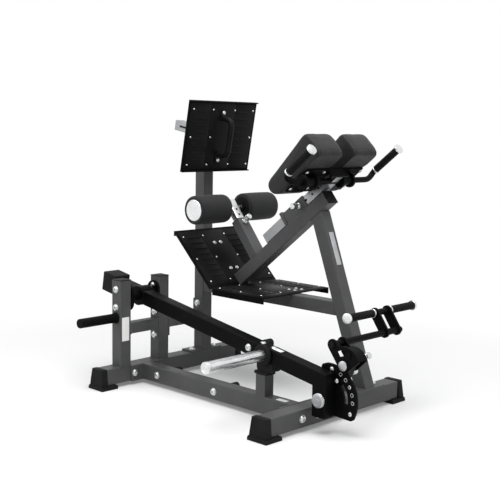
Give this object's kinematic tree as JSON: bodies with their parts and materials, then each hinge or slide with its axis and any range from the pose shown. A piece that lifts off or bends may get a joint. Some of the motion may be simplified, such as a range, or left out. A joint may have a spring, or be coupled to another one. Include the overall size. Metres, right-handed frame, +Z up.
{
  "type": "glute extension bench",
  "caption": "Plate-loaded glute extension bench with a pivoting lever, sliding hip pads, foam ankle rollers, footplates and a handle bracket that adjusts on a drilled sector.",
  "frame": {"origin": "bottom centre of the bounding box, on the floor", "axes": "+X from the lever's pivot end towards its handle end, +Y away from the lever's side, +Z up"},
  "size_m": [1.539, 1.0882, 1.3414],
  "materials": {
    "grey_paint": "fine textured powder coat, dark grey",
    "black_paint": "satin powder coat, black",
    "black_rubber": "matte moulded rubber",
    "chrome": "bright plated",
    "silver": "zinc plated, satin",
    "pad_leather": "grained upholstery, dark grey",
    "foam_cover": "smooth foam skin, dark"
  },
  "bodies": {
    "frame": {"rear_crossmember": "grey_paint", "front_crossmember": "grey_paint", "side_rail": "grey_paint", "foot_rear_near": "black_rubber", "foot_rear_far": "black_rubber", "foot_front_near": "black_rubber", "foot_front_far": "black_rubber", "band_peg_rear": "black_rubber", "band_peg_front": "black_rubber", "stop_saddle": "black_rubber", "post_near": "grey_paint", "post_far": "grey_paint", "post_tie": "grey_paint", "mast_tie": "grey_paint", "storage_horn": "black_paint", "bearing_near": "black_paint", "bearing_far": "black_paint", "mast": "grey_paint", "incline_tube": "grey_paint", "pad_sleeve": "grey_paint", "roller_sleeve": "grey_paint", "footplate_beam": "grey_paint", "sloped_footplate": "black_paint", "flat_footplate": "black_paint", "front_strut": "grey_paint"},
    "lever": {"lever_beam": "black_paint", "tail_block": "black_rubber", "weight_horn": "chrome", "horn_stop_disc": "black_rubber", "band_peg_lever": "black_rubber", "rubber_stop": "black_rubber", "sector_plate": "black_paint"},
    "swing": {"swing_arm": "black_paint", "swing_shaft": "silver"},
    "swing_pin": {"swing_pin": "silver"},
    "wrist": {"wrist_bracket": "black_paint", "wrist_pivot": "silver", "cross_bar": "black_paint", "handle_bar": "black_paint", "handle_grip_near": "black_rubber", "handle_grip_far": "black_rubber"},
    "wrist_pin": {"wrist_pin": "silver"},
    "pads": {"pad_slide_bar": "silver", "pad_carrier": "black_paint", "hip_pad_near": "pad_leather", "hip_pad_far": "pad_leather", "pad_handle": "black_paint", "pad_grip_near": "black_rubber", "pad_grip_far": "black_rubber"},
    "pad_pin": {"pad_pin": "silver"},
    "roller_post": {"roller_post": "chrome", "roller_axle": "silver"},
    "roller_near": {"roller_near": "foam_cover"},
    "roller_far": {"roller_far": "foam_cover"},
    "roller_pin": {"roller_pin": "silver"},
    "upper": {"upper_plate": "black_paint", "upper_slide_bar": "silver", "pull_handle": "black_rubber"},
    "mast_pin": {"mast_pin": "silver"}
  },
  "joints": [
    {"name": "lever_lift", "type": "hinge", "parent": "frame", "child": "lever", "pos_m": [-0.5132, -0.17413, 0.416], "axis": [0, -1, 0], "range_deg": [0, 28]},
    {"name": "swing_adjust", "type": "hinge", "parent": "lever", "child": "swing", "pos_m": [0.61955, -0.11413, 0.144], "axis": [0, 1, 0], "range_deg": [-2, 64]},
    {"name": "wrist_adjust", "type": "hinge", "parent": "swing", "child": "wrist", "pos_m": [0.69527, -0.11413, 0.28947], "axis": [0, 1, 0], "range_deg": [-3, 52]},
    {"name": "swing_pin_pull", "type": "slide", "parent": "swing", "child": "swing_pin", "axis": [0, 1, 0], "range_m": [0, 0.01], "stiffness_N_per_m": 600, "springref_m": -0.005},
    {"name": "wrist_pin_pull", "type": "slide", "parent": "wrist", "child": "wrist_pin", "axis": [0, 1, 0], "range_m": [0, 0.01], "stiffness_N_per_m": 600, "springref_m": -0.005},
    {"name": "pads_slide", "type": "slide", "parent": "frame", "child": "pads", "axis": [0.7804, 0, 0.6252], "range_m": [0, 0.1]},
    {"name": "pad_pin_pull", "type": "slide", "parent": "frame", "child": "pad_pin", "axis": [0, -1, 0], "range_m": [0, 0.01], "stiffness_N_per_m": 600, "springref_m": -0.005},
    {"name": "roller_slide", "type": "slide", "parent": "frame", "child": "roller_post", "axis": [-0.6252, 0, 0.7804], "range_m": [-0.03, 0.08]},
    {"name": "roller_near_spin", "type": "hinge", "parent": "roller_post", "child": "roller_near", "pos_m": [-0.30931, 0.22062, 0.82792], "axis": [0, 1, 0], "continuous": true},
    {"name": "roller_far_spin", "type": "hinge", "parent": "roller_post", "child": "roller_far", "pos_m": [-0.30931, 0.22062, 0.82792], "axis": [0, 1, 0], "continuous": true},
    {"name": "roller_pin_pull", "type": "slide", "parent": "frame", "child": "roller_pin", "axis": [0.7804, 0, 0.6252], "range_m": [0, 0.01], "stiffness_N_per_m": 600, "springref_m": -0.005},
    {"name": "upper_slide", "type": "slide", "parent": "frame", "child": "upper", "axis": [0.9842, 0, -0.1771], "range_m": [-0.03, 0.1]},
    {"name": "mast_pin_pull", "type": "slide", "parent": "frame", "child": "mast_pin", "axis": [0, -1, 0], "range_m": [0, 0.01], "stiffness_N_per_m": 600, "springref_m": -0.005}
  ]
}
